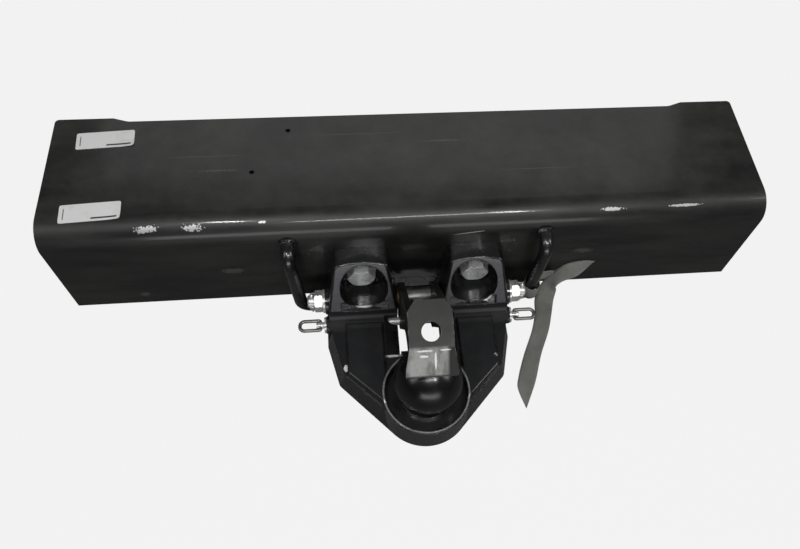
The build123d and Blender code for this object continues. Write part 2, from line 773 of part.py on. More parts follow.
def plate_normal(slope):
    """Unit vector square to a slope in y and z, towards the outside."""
    length = sqrt(slope[0] ** 2 + slope[1] ** 2)
    return -slope[1] / length, slope[0] / length


def hold_profile():
    """Side view of the folded plate: the upper plate and the lip that turns down in front."""
    upper = (hold_rear[0] - hold_bend[0], hold_rear[1] - hold_bend[1])
    lip = (hold_bend[0] - hold_lip_end[0], hold_bend[1] - hold_lip_end[1])
    up_n = plate_normal(upper)
    lip_n = plate_normal(lip)
    turn = (atan2(lip[1], lip[0]) - atan2(upper[1], upper[0])) / 2
    mitre = hold_plate / cos(turn)
    middle = (up_n[0] + lip_n[0], up_n[1] + lip_n[1])
    size = sqrt(middle[0] ** 2 + middle[1] ** 2)
    inner_bend = (hold_bend[0] - middle[0] / size * mitre, hold_bend[1] - middle[1] / size * mitre)
    outline = outline_from([
        hold_rear, hold_bend, hold_lip_end,
        (hold_lip_end[0] - lip_n[0] * hold_plate, hold_lip_end[1] - lip_n[1] * hold_plate),
        inner_bend,
        (hold_rear[0] - up_n[0] * hold_plate, hold_rear[1] - up_n[1] * hold_plate),
    ])
    return fillet(outline.vertices().sort_by_distance((*hold_bend, 0))[0], hold_bend_radius)


def cheek_profile():
    """Side view of a cheek: boss, slotted lobe and the long web up to the plate."""
    boss = Pos(pivot_reach, pivot_height) * Circle(cheek_boss_radius)
    slope = (hold_rear[1] - hold_bend[1]) / (hold_rear[0] - hold_bend[0])
    rear = (hold_rear[0] - hold_rear_chamfer, hold_rear[1] - hold_rear_chamfer * slope - hold_plate * 0.6)
    front = (hold_lip_end[0] * 0.4 + hold_bend[0] * 0.6, hold_lip_end[1] * 0.4 + hold_bend[1] * 0.6)
    lean = atan2(rear[1] - pivot_height, pivot_reach - rear[0])
    top_root = (pivot_reach + cheek_boss_radius * sin(lean), pivot_height + cheek_boss_radius * cos(lean))
    lobe_front = stop_place(0, slot_outer_radius())
    body = outline_from([
        rear, top_root, (pivot_reach, pivot_height), lobe_front,
        (socket_room_radius * 0.9, socket_room_radius * 0.42), (socket_room_radius * 0.7, 0),
        (0, 0), (front[0], front[1] - hold_plate * 0.5), (hold_bend[0], hold_bend[1] - hold_plate * 0.6),
    ])
    body -= Circle(socket_room_radius)
    return boss + body + slot_lobe()


def slot_outer_radius():
    """Radius of the slotted lobe about the pivot."""
    return stop_distance() + stop_diameter / 2 + free_clearance + slot_edge


def stop_distance():
    """Distance between the pivot and the stop pin."""
    return sqrt((pivot_reach - stop_reach) ** 2 + (pivot_height - stop_height) ** 2)


def stop_place(lift, radius):
    """Point in the cheek where the stop pin lies once the hold-down is lifted by some degrees."""
    start = atan2(pivot_height - stop_height, pivot_reach - stop_reach)
    angle = start + radians(lift)
    return pivot_reach - radius * cos(angle), pivot_height - radius * sin(angle)


def slot_lobe():
    """Sector of the cheek that holds the stop slot."""
    points = [stop_place(lift, slot_outer_radius()) for lift in (-12, hold_lift / 2, hold_lift + 12)]
    rim = ThreePointArc(*points)
    sides = Polyline(points[2], (pivot_reach, pivot_height), points[0])
    return make_face(rim.edges() + sides.edges())


def slot_cut():
    """Slot that follows the stop pin's path through a cheek."""
    half = stop_diameter / 2 + free_clearance
    centre = stop_distance()
    inner = [stop_place(lift, centre - half) for lift in (0, hold_lift / 2, hold_lift)]
    outer = [stop_place(lift, centre + half) for lift in (hold_lift, hold_lift / 2, 0)]
    sides = Polyline(inner[2], outer[0]).edges() + Polyline(outer[2], inner[0]).edges()
    slot = make_face(ThreePointArc(*inner).edges() + ThreePointArc(*outer).edges() + sides)
    for lift in (0, hold_lift):
        slot += Pos(*stop_place(lift, centre)) * Circle(half)
    return slot


def make_hold_down():
    """Folded plate over the ball, welded to two cheeks that swing on the pivot pin."""
    half = hold_width / 2
    lip_half = lip_width / 2
    rear = hold_rear[0]
    plan = outline_from([
        (-lip_half, hold_lip_end[0] - 10), (lip_half, hold_lip_end[0] - 10),
        (lip_half, hold_lip_end[0] + 6),
        (half, hold_bend[0]), (half, rear - hold_rear_chamfer), (half - hold_rear_chamfer, rear + 4),
        (-half + hold_rear_chamfer, rear + 4), (-half, rear - hold_rear_chamfer), (-half, hold_bend[0]),
        (-lip_half, hold_lip_end[0] + 6),
    ])
    plate = along_x(hold_profile(), -lip_half, lip_half) & along_z(plan, 0, big)
    tilt = degrees(atan2(hold_rear[1] - hold_bend[1], hold_rear[0] - hold_bend[0]))
    hole = Pos(0, *hold_bend) * Rot(tilt, 0, 0) * Pos(0, hold_hole_back, 0) * Cylinder(
        hold_hole_diameter / 2, 3 * hold_plate)
    cheek = cheek_profile() - slot_cut() - Pos(pivot_reach, pivot_height) * Circle(bush_radius())
    right = along_x(cheek, half - cheek_thickness, half)
    for part in both_sides(right):
        plate += part
    return plate - hole


def make_wear_pad():
    """Replaceable block on the inside of the hold-down's lip."""
    slope = (hold_bend[0] - hold_lip_end[0], hold_bend[1] - hold_lip_end[1])
    size = sqrt(slope[0] ** 2 + slope[1] ** 2)
    normal = plate_normal(slope)
    corners = []
    for run, depth in ((0, 0), (1, 0), (1, 1), (0, 1)):
        along = (wear_pad_start + run * wear_pad_length) / size
        drop = hold_plate + depth * wear_pad_thickness
        corners.append((hold_bend[0] - slope[0] * along - normal[0] * drop,
                        hold_bend[1] - slope[1] * along - normal[1] * drop))
    return along_x(outline_from(corners), -wear_pad_width / 2, wear_pad_width / 2)


# Chain eyes and tape

def make_right_chain_eye():
    """Round bar that stands off the beam, with a welded collar and a foot on the carrier."""
    stand = face_y - eye_standoff
    points = [(eye_x, inner_face_y, eye_height), (eye_x, stand, eye_height),
              (eye_low_x, stand, eye_foot_height), (eye_boss_reach, stand, eye_foot_height)]
    bar = round_bar(points, eye_diameter / 2, eye_bend_radius)
    collar = rod_y(eye_collar_diameter / 2, face_y - eye_collar_thickness, face_y, eye_x, eye_height)
    return bar + collar


def pointed_band(path, width):
    """Flat band along a path, which ends in a point."""
    edges = []
    for place in range(len(path) - 1):
        before = path[max(place - 1, 0)]
        after = path[place + 1]
        along = (after[0] - before[0], after[1] - before[1])
        half = width / 2 / sqrt(along[0] ** 2 + along[1] ** 2)
        across = (-along[1] * half, along[0] * half)
        edges.append(((path[place][0] + across[0], path[place][1] + across[1]),
                      (path[place][0] - across[0], path[place][1] - across[1])))
    there = [left for left, right in edges]
    back = [right for left, right in edges[::-1]]
    return outline_from(there + [path[-1]] + back)


def make_tape_strip():
    """Strip of tape: a loop round the chain eye, a tail along the beam and a long end on the ground."""
    tail_y = face_y - tape_clearance - tape_thickness
    ground = base_z + tape_clearance
    tail = along_y(outline_from([
        (tape_fold_x, tape_tail_height), (tape_tail_x, tape_tail_height),
        (tape_tail_x - tape_width * 0.3, tape_tail_height - tape_width),
        (tape_fold_x, tape_tail_height - tape_width),
    ]), tail_y, tail_y + tape_thickness)
    stand = face_y - eye_standoff
    bar_x = eye_low_x + (eye_x - eye_low_x) * 0.25
    loop_radius = eye_diameter / 2 + 2 * tape_clearance
    loop = Cylinder(loop_radius + tape_thickness, tape_width) - Cylinder(loop_radius, tape_width)
    loop_middle = tape_tail_height - tape_width / 2
    strip = tail + Pos(bar_x, stand, loop_middle) * loop
    link = outline_from([
        (tape_fold_x, tail_y), (tape_fold_x, tail_y + tape_thickness),
        (bar_x, stand + loop_radius + tape_thickness), (bar_x, stand + loop_radius + 0.2),
    ])
    strip += along_z(link, tape_tail_height - tape_width, tape_tail_height)
    path = [(eye_x + x, y) for x, y in tape_path]
    first = path[0]
    drop = outline_from([
        (tail_y, loop_middle), (tail_y + tape_thickness, loop_middle),
        (first[1] + tape_thickness, ground), (first[1], ground), (first[1], ground + tape_thickness),
    ])
    strip += along_x(drop, first[0] - tape_width / 2, first[0] + tape_width / 2)
    return strip + along_z(pointed_band(path, tape_width), ground, ground + tape_thickness)


ball_carrier, right_arm_solid, web_solid = split_carrier(whole_carrier())
nodes = {
    "crossmember_beam": make_beam(),
    "right_rail_bracket": make_right_rail_bracket(),
    "left_rail_bracket": mirror(make_right_rail_bracket(), about=Plane.YZ),
    "right_gusset": make_right_gusset(),
    "left_gusset": mirror(make_right_gusset(), about=Plane.YZ),
    "backing_plate": make_backing_plate(),
    "ball_carrier": ball_carrier,
    "right_carrier_arm": right_arm_solid,
    "left_carrier_arm": mirror(right_arm_solid, about=Plane.YZ),
    "carrier_web": web_solid,
    "tow_ball": make_tow_ball(),
    "ball_nut": make_ball_nut(),
    "ball_lock_washer": make_ball_lock_washer(),
    "upper_bolts": make_upper_bolts(),
    "upper_washers": make_upper_washers(),
    "upper_nuts": make_upper_nuts(),
    "lower_bolts": make_lower_bolts(),
    "lower_washers": make_lower_washers(),
    "pivot_pin": make_pivot_pin(),
    "pivot_nuts": make_pivot_nuts(),
    "pivot_washers": make_pivot_washers(),
    "pivot_split_pins": make_split_pins(),
    "pivot_spacer": make_pivot_spacer(),
    "pivot_bushes": make_pivot_bushes(),
    "stop_pin": make_stop_pin(),
    "stop_pin_washers": make_stop_washers(),
    "right_retaining_loop": make_right_loop(),
    "left_retaining_loop": mirror(make_right_loop(), about=Plane.YZ),
    "hold_down": make_hold_down(),
    "wear_pad": make_wear_pad(),
    "right_chain_eye": make_right_chain_eye(),
    "left_chain_eye": mirror(make_right_chain_eye(), about=Plane.YZ),
    "tape_strip": make_tape_strip(),
}

os.makedirs("parts", exist_ok=True)
for name, shape in nodes.items():
    export_step(shape, f"parts/{name}.step")
    print(name, round(shape.volume))
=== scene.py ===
# %% [markdown]
# A heavy crossmember from the back of a truck, with its tow ball, lies on a pale floor.
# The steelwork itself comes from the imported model. This script adds what paint, wear,
# labels and a strip of tape look like, and then the light and the camera of the photo.

import json
import math

import bpy
from mathutils import Matrix, Vector


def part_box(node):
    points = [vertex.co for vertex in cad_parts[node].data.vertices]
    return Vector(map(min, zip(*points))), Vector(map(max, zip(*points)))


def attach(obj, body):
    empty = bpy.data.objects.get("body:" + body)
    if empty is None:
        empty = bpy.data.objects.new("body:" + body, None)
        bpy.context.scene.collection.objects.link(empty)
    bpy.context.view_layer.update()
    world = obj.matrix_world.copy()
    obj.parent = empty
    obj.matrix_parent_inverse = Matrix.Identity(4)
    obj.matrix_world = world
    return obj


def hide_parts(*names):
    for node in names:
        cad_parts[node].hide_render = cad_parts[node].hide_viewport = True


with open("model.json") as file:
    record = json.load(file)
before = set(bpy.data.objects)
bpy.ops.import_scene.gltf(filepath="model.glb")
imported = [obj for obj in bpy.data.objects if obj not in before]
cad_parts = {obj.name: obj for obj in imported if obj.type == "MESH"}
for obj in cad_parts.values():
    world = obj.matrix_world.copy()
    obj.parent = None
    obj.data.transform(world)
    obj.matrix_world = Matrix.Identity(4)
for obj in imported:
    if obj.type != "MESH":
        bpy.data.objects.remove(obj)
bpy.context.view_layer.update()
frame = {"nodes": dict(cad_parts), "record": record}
nodes = frame["nodes"]
MM = 0.001

# %% [markdown]
# Two heights are measured: the beam's top, which carries the labels, and the underside
# of the ball carrier, which is where the floor lies. Both follow when the model changes.

# %% Measured places
top_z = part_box("crossmember_beam")[1].z
floor_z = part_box("ball_carrier")[0].z
print("top z", round(top_z, 4), "floor z", round(floor_z, 4))

# %% [markdown]
# The camera stands above and in front of the ball and looks steeply down, slightly
# rolled, as a person holds a phone over a part on the floor.

# %% Camera
VIEW_YAW = math.radians(11.335)
VIEW_TILT = math.radians(59.07)
VIEW_ROLL = math.radians(6.860)
VIEW_PLACE = Vector((-73.91, -313.81, 781.98)) * MM
FOCAL_PIXELS = 731.0
IMAGE_WIDTH = 800.0
SHIFT = (-0.04, -0.006875)

forward = Vector((math.sin(VIEW_YAW) * math.cos(VIEW_TILT),
                  math.cos(VIEW_YAW) * math.cos(VIEW_TILT), -math.sin(VIEW_TILT)))
level_right = Vector((math.cos(VIEW_YAW), -math.sin(VIEW_YAW), 0.0))
level_up = level_right.cross(forward)
right = level_right * math.cos(VIEW_ROLL) + level_up * math.sin(VIEW_ROLL)
up = level_up * math.cos(VIEW_ROLL) - level_right * math.sin(VIEW_ROLL)

camera_data = bpy.data.cameras.new("camera")
camera_data.sensor_width = 36.0
camera_data.lens = camera_data.sensor_width * FOCAL_PIXELS / IMAGE_WIDTH
camera_data.shift_x, camera_data.shift_y = SHIFT
camera_data.clip_start = 0.01
camera = bpy.data.objects.new("camera", camera_data)
view_turn = Matrix((right, up, -forward)).transposed().to_4x4()
camera.matrix_world = Matrix.Translation(VIEW_PLACE) @ view_turn
bpy.context.scene.collection.objects.link(camera)
bpy.context.scene.camera = camera
bpy.context.scene.view_settings.view_transform = "Standard"
print("lens", round(camera_data.lens, 2), "mm")

# %% [markdown]
# Light: glossy black paint shows little but what it mirrors, so the lights are the
# picture. A narrow box near the camera draws the bright line along the beam's bend, a
# low one in front lights the arms' slopes, and the sky stays dim to keep the black. The
# camera itself sees a pale backdrop in place of that dim sky.

# %% Lights
SKY_STRENGTH = 0.055
BACKDROP_WHITE = 0.90


def soft_box(name, place, target, size, power):
    """Rectangular lamp that looks at a target."""
    lamp = bpy.data.lights.new(name, "AREA")
    lamp.shape = "RECTANGLE"
    lamp.size, lamp.size_y = size
    lamp.energy = power
    holder = bpy.data.objects.new(name, lamp)
    holder.location = place
    holder.rotation_euler = (Vector(target) - Vector(place)).to_track_quat("-Z", "Y").to_euler()
    bpy.context.scene.collection.objects.link(holder)


soft_box("bend_box", (0.08, -0.45, 0.98), (0.0, 0.17, 0.08), (0.64, 0.05), 3.0)
soft_box("front_box", (0.0, -1.6, 0.24), (0.0, 0.0, 0.05), (1.6, 0.45), 6.5)
soft_box("back_box", (0.1, 1.6, 1.5), (0.0, 0.2, 0.0), (2.2, 0.5), 3.8)
soft_box("left_box", (-1.4, -0.3, 1.1), (0.0, 0.0, 0.0), (0.5, 0.9), 4.0)
soft_box("left_spark", (-0.45, -0.35, 1.3), (0.0, 0.0, 0.0), (0.12, 0.06), 3.0)
soft_box("right_spark", (0.40, -0.55, 1.2), (0.0, 0.0, 0.0), (0.06, 0.12), 2.0)
soft_box("right_box", (1.5, -0.2, 1.1), (0.0, 0.1, 0.0), (0.4, 0.8), 6.0)

world = bpy.data.worlds.new("sky")
world.use_nodes = True
sky = world.node_tree.nodes["Background"]
sky.inputs["Color"].default_value = (0.93, 0.95, 1.0, 1.0)
sky.inputs["Strength"].default_value = SKY_STRENGTH
backdrop = world.node_tree.nodes.new("ShaderNodeBackground")
backdrop.inputs["Color"].default_value = (BACKDROP_WHITE, BACKDROP_WHITE, BACKDROP_WHITE, 1.0)
backdrop.inputs["Strength"].default_value = 1.0
sky_ray = world.node_tree.nodes.new("ShaderNodeLightPath")
sky_mix = world.node_tree.nodes.new("ShaderNodeMixShader")
sources = (sky_ray.outputs["Is Camera Ray"], sky.outputs[0], backdrop.outputs[0])
for socket, source in enumerate(sources):
    world.node_tree.links.new(source, sky_mix.inputs[socket])
world.node_tree.links.new(sky_mix.outputs[0], world.node_tree.nodes["World Output"].inputs["Surface"])
bpy.context.scene.world = world

# %% [markdown]
# The floor looks almost white to the camera, as in the photo, yet it lights the part
# only a little. A share of plain diffuse paint keeps a faint shadow under the steel.

# %% Floor
FLOOR_HALF = 12.0
FLOOR_WHITE = 1.0
SHADOW_SHARE = 0.12
floor_mesh = bpy.data.meshes.new("floor")
floor_mesh.from_pydata(
    [(-FLOOR_HALF, -FLOOR_HALF, floor_z), (FLOOR_HALF, -FLOOR_HALF, floor_z),
     (FLOOR_HALF, FLOOR_HALF, floor_z), (-FLOOR_HALF, FLOOR_HALF, floor_z)], [], [(0, 1, 2, 3)])
floor = bpy.data.objects.new("floor", floor_mesh)
bpy.context.scene.collection.objects.link(floor)
floor_paint = bpy.data.materials.new("floor_paint")
floor_paint.use_nodes = True
floor_tree = floor_paint.node_tree
floor_shader = floor_tree.nodes["Principled BSDF"]
floor_shader.inputs["Base Color"].default_value = (0.14, 0.14, 0.14, 1.0)
floor_shader.inputs["Roughness"].default_value = 0.8
floor_shader.inputs["Specular IOR Level"].default_value = 0.1
white = floor_tree.nodes.new("ShaderNodeEmission")
white.inputs["Color"].default_value = (FLOOR_WHITE, FLOOR_WHITE, FLOOR_WHITE, 1.0)
seen = floor_tree.nodes.new("ShaderNodeLightPath")
share = floor_tree.nodes.new("ShaderNodeMath")
share.operation = "MULTIPLY"
share.inputs[1].default_value = 1.0 - SHADOW_SHARE
blend = floor_tree.nodes.new("ShaderNodeMixShader")
floor_tree.links.new(seen.outputs["Is Camera Ray"], share.inputs[0])
floor_tree.links.new(share.outputs[0], blend.inputs[0])
floor_tree.links.new(floor_shader.outputs[0], blend.inputs[1])
floor_tree.links.new(white.outputs[0], blend.inputs[2])
floor_tree.links.new(blend.outputs[0], floor_tree.nodes["Material Output"].inputs["Surface"])
floor_mesh.materials.append(floor_paint)
print("floor at z", round(floor_z, 4))

# %% [markdown]
# The finishes share a few effects: blotches, worn edges, dust on what faces up, and
# single spots. Each is a node group, made once, that hands out only masks or a normal.

# %% Helpers for node groups


def start_group(name, inputs, outputs):
    """Empty node group with named inputs (name, kind, value) and outputs (name, kind)."""
    group = bpy.data.node_groups.new(name, "ShaderNodeTree")
    for label, kind, value in inputs:
        socket = group.interface.new_socket(name=label, in_out="INPUT", socket_type=kind)
        if value is not None:
            socket.default_value = value
    for label, kind in outputs:
        group.interface.new_socket(name=label, in_out="OUTPUT", socket_type=kind)
    return group, group.nodes.new("NodeGroupInput"), group.nodes.new("NodeGroupOutput")


def add_node(tree, kind, **settings):
    """Node with its properties set."""
    node = tree.nodes.new(kind)
    for key, value in settings.items():
        setattr(node, key, value)
    return node


def math_node(tree, operation, first, second=None, clamp=False):
    """Math node fed by sockets or plain numbers."""
    node = add_node(tree, "ShaderNodeMath", operation=operation, use_clamp=clamp)
    for place, value in enumerate((first, second)):
        if value is None:
            continue
        if isinstance(value, (int, float)):
            node.inputs[place].default_value = value
        else:
            tree.links.new(value, node.inputs[place])
    return node.outputs[0]


def product(tree, *factors):
    """Product of several masks or values."""
    total = factors[0]
    for factor in factors[1:]:
        total = math_node(tree, "MULTIPLY", total, factor)
    return total


def distance_from(tree, value, middle):
    """How far a value lies from a middle, whichever way."""
    return math_node(tree, "ABSOLUTE", math_node(tree, "SUBTRACT", value, middle))


def length_of(tree, first, second):
    """Length of the vector with two given parts."""
    squares = [product(tree, value, value) for value in (first, second)]
    return math_node(tree, "SQRT", math_node(tree, "ADD", *squares))


def object_place(tree):
    """X, Y and Z in the object's own space, in metres."""
    place = add_node(tree, "ShaderNodeTexCoord")
    parts = add_node(tree, "ShaderNodeSeparateXYZ")
    tree.links.new(place.outputs["Object"], parts.inputs[0])
    return parts.outputs["X"], parts.outputs["Y"], parts.outputs["Z"]


def between(tree, value, low, high):
    """Maps a value so that low gives 0 and high gives 1."""
    node = add_node(tree, "ShaderNodeMapRange", clamp=True)
    tree.links.new(value, node.inputs["Value"])
    for label, limit in (("From Min", low), ("From Max", high)):
        if isinstance(limit, (int, float)):
            node.inputs[label].default_value = limit
        else:
            tree.links.new(limit, node.inputs[label])
    return node.outputs["Result"]


def mix_colors(tree, factor, first, second):
    """Blend of two colours, each a socket or a plain value."""
    node = add_node(tree, "ShaderNodeMix", data_type="RGBA")
    for socket, value in ((node.inputs[0], factor), (node.inputs[6], first), (node.inputs[7], second)):
        if isinstance(value, bpy.types.NodeSocket):
            tree.links.new(value, socket)
        else:
            socket.default_value = value
    return node.outputs[2]


# %% [markdown]
# Blotches: soft noise in the object's own space, stretched by a scale for each axis, so
# that one group gives cloudy paint as well as the long streaks that rolling leaves.

# %% Blotches
blotches, group_in, group_out = start_group(
    "blotches",
    [("Scale", "NodeSocketFloat", 20.0), ("Stretch", "NodeSocketVector", (1.0, 1.0, 1.0)),
     ("Low", "NodeSocketFloat", 0.35), ("High", "NodeSocketFloat", 0.65)],
    [("Mask", "NodeSocketFloat")])
place = add_node(blotches, "ShaderNodeTexCoord")
stretched = add_node(blotches, "ShaderNodeVectorMath", operation="MULTIPLY")
blotches.links.new(place.outputs["Object"], stretched.inputs[0])
blotches.links.new(group_in.outputs["Stretch"], stretched.inputs[1])
noise = add_node(blotches, "ShaderNodeTexNoise")
noise.inputs["Detail"].default_value = 5.0
noise.inputs["Roughness"].default_value = 0.6
blotches.links.new(stretched.outputs[0], noise.inputs["Vector"])
blotches.links.new(group_in.outputs["Scale"], noise.inputs["Scale"])
blotches.links.new(
    between(blotches, noise.outputs["Fac"], group_in.outputs["Low"], group_in.outputs["High"]),
    group_out.inputs["Mask"])

# %% [markdown]
# Worn edges: where a softened normal differs from the true one, the surface turns
# sharply. Noise breaks that line up, because paint chips off in flakes. The softened
# normal is handed out too, so that every edge catches a thin line of light.

# %% Worn edges
SHARP_TURN = (0.995, 0.86)
FLAKE_LIMIT = 0.85
FLAKE_GAIN = 0.5
FLAKE_EDGE = 0.05
worn_edges, group_in, group_out = start_group(
    "worn_edges",
    [("Radius", "NodeSocketFloat", 0.0015), ("Amount", "NodeSocketFloat", 0.4),
     ("Flake Scale", "NodeSocketFloat", 90.0)],
    [("Mask", "NodeSocketFloat"), ("Normal", "NodeSocketVector")])
soft_normal = add_node(worn_edges, "ShaderNodeBevel", samples=6)
worn_edges.links.new(group_in.outputs["Radius"], soft_normal.inputs["Radius"])
true_normal = add_node(worn_edges, "ShaderNodeNewGeometry")
likeness = add_node(worn_edges, "ShaderNodeVectorMath", operation="DOT_PRODUCT")
worn_edges.links.new(soft_normal.outputs["Normal"], likeness.inputs[0])
worn_edges.links.new(true_normal.outputs["Normal"], likeness.inputs[1])
sharpness = between(worn_edges, likeness.outputs["Value"], *SHARP_TURN)
flake_place = add_node(worn_edges, "ShaderNodeTexCoord")
flakes = add_node(worn_edges, "ShaderNodeTexNoise")
flakes.inputs["Detail"].default_value = 6.0
worn_edges.links.new(flake_place.outputs["Object"], flakes.inputs["Vector"])
worn_edges.links.new(group_in.outputs["Flake Scale"], flakes.inputs["Scale"])
gain = math_node(worn_edges, "MULTIPLY", group_in.outputs["Amount"], FLAKE_GAIN)
flake_low = math_node(worn_edges, "SUBTRACT", FLAKE_LIMIT, gain)
flake_high = math_node(worn_edges, "ADD", flake_low, FLAKE_EDGE)
flake_mask = between(worn_edges, flakes.outputs["Fac"], flake_low, flake_high)
worn_edges.links.new(product(worn_edges, sharpness, flake_mask), group_out.inputs["Mask"])
worn_edges.links.new(soft_normal.outputs["Normal"], group_out.inputs["Normal"])

# %% [markdown]
# Dust: it lies on what faces up and is patchy, because hands and weather wipe some of
# it away.

# %% Dust
FACES_UP = (0.5, 1.0)
DUST_PATCHES = (0.40, 0.75)
dust, group_in, group_out = start_group(
    "dust",
    [("Amount", "NodeSocketFloat", 0.3), ("Scale", "NodeSocketFloat", 14.0)],
    [("Mask", "NodeSocketFloat")])
facing = add_node(dust, "ShaderNodeNewGeometry")
split = add_node(dust, "ShaderNodeSeparateXYZ")
dust.links.new(facing.outputs["Normal"], split.inputs[0])
flatness = between(dust, split.outputs["Z"], *FACES_UP)
dust_place = add_node(dust, "ShaderNodeTexCoord")
patches = add_node(dust, "ShaderNodeTexNoise")
patches.inputs["Detail"].default_value = 8.0
patches.inputs["Roughness"].default_value = 0.7
dust.links.new(dust_place.outputs["Object"], patches.inputs["Vector"])
dust.links.new(group_in.outputs["Scale"], patches.inputs["Scale"])
patch_mask = between(dust, patches.outputs["Fac"], *DUST_PATCHES)
settled = product(dust, flatness, patch_mask, group_in.outputs["Amount"])
dust.links.new(settled, group_out.inputs["Mask"])

# %% [markdown]
# Spots: a single mark at a given place, such as a chip or a scratch. It is an oval with
# a ragged edge, turned about the Y axis.

# %% Spots
TORN_REACH = 3.0
spot, group_in, group_out = start_group(
    "spot",
    [("Place", "NodeSocketVector", (0.0, 0.0, 0.0)), ("Size", "NodeSocketVector", (0.01, 0.01, 0.01)),
     ("Turn", "NodeSocketFloat", 0.0), ("Ragged", "NodeSocketFloat", 0.8),
     ("Soft", "NodeSocketFloat", 0.1)],
    [("Mask", "NodeSocketFloat")])
spot_place = add_node(spot, "ShaderNodeTexCoord")
moved = add_node(spot, "ShaderNodeVectorMath", operation="SUBTRACT")
spot.links.new(spot_place.outputs["Object"], moved.inputs[0])
spot.links.new(group_in.outputs["Place"], moved.inputs[1])
turned = add_node(spot, "ShaderNodeVectorRotate", rotation_type="Y_AXIS")
spot.links.new(moved.outputs[0], turned.inputs["Vector"])
spot.links.new(group_in.outputs["Turn"], turned.inputs["Angle"])
shaped = add_node(spot, "ShaderNodeVectorMath", operation="DIVIDE")
spot.links.new(turned.outputs[0], shaped.inputs[0])
spot.links.new(group_in.outputs["Size"], shaped.inputs[1])
far = add_node(spot, "ShaderNodeVectorMath", operation="LENGTH")
spot.links.new(shaped.outputs[0], far.inputs[0])
grain = add_node(spot, "ShaderNodeTexNoise")
grain.inputs["Scale"].default_value = 420.0
grain.inputs["Detail"].default_value = 4.0
spot.links.new(spot_place.outputs["Object"], grain.inputs["Vector"])
torn = math_node(spot, "MULTIPLY", math_node(spot, "SUBTRACT", grain.outputs["Fac"], 0.5),
                 group_in.outputs["Ragged"])
reach = math_node(spot, "ADD", far.outputs["Value"], math_node(spot, "MULTIPLY", torn, TORN_REACH))
inner = math_node(spot, "SUBTRACT", 1.0, group_in.outputs["Soft"])
outside = between(spot, reach, inner, 1.0)
spot.links.new(math_node(spot, "SUBTRACT", 1.0, outside), group_out.inputs["Mask"])
print("groups", [g.name for g in bpy.data.node_groups])

# %% [markdown]
# Paint over steel: a base colour with soft blotches, grey metal where the edges are
# worn, and a veil of dust. Roughness follows the same masks, since bare metal, paint
# and dust shine differently.

# %% Helpers for finishes
WORN_STEEL = (0.32, 0.32, 0.31, 1.0)
DUST_COLOUR = (0.30, 0.29, 0.26, 1.0)
GRIME_COLOUR = (0.10, 0.09, 0.08, 1.0)
JOIN_FADE = (0.0022, 0.0030)
PEEL_SCALE = 260.0


def use_group(tree, group, **values):
    """Group node with its inputs set; an underscore in a name stands for a space."""
    node = add_node(tree, "ShaderNodeGroup", node_tree=group)
    for key, value in values.items():
        node.inputs[key.replace("_", " ")].default_value = value
    return node


def start_material(name):
    """Material with its tree and its shader."""
    material = bpy.data.materials.new(name)
    material.use_nodes = True
    return material, material.node_tree, material.node_tree.nodes["Principled BSDF"]


def add_bump(tree, shader, height, strength, distance, normal=None):
    """Bump from a height, on top of a normal."""
    bump = add_node(tree, "ShaderNodeBump")
    bump.inputs["Strength"].default_value = strength
    bump.inputs["Distance"].default_value = distance
    tree.links.new(height, bump.inputs["Height"])
    if normal is not None:
        tree.links.new(normal, bump.inputs["Normal"])
    tree.links.new(bump.outputs["Normal"], shader.inputs["Normal"])


def mix_values(tree, factor, first, second):
    """Blend of two plain numbers by a mask."""
    node = add_node(tree, "ShaderNodeMapRange", clamp=True)
    tree.links.new(factor, node.inputs["Value"])
    node.inputs["To Min"].default_value = first
    node.inputs["To Max"].default_value = second
    return node.outputs["Result"]


def add_values(tree, first, second):
    """Sum of two sockets, kept between 0 and 1."""
    return math_node(tree, "ADD", first, second, clamp=True)


def clear_of_join(tree, join_y):
    """Mask that is 0 at the plane where one forging is told apart in nodes, and 1 elsewhere."""
    place_y = object_place(tree)[1]
    return between(tree, distance_from(tree, place_y, join_y), *JOIN_FADE)


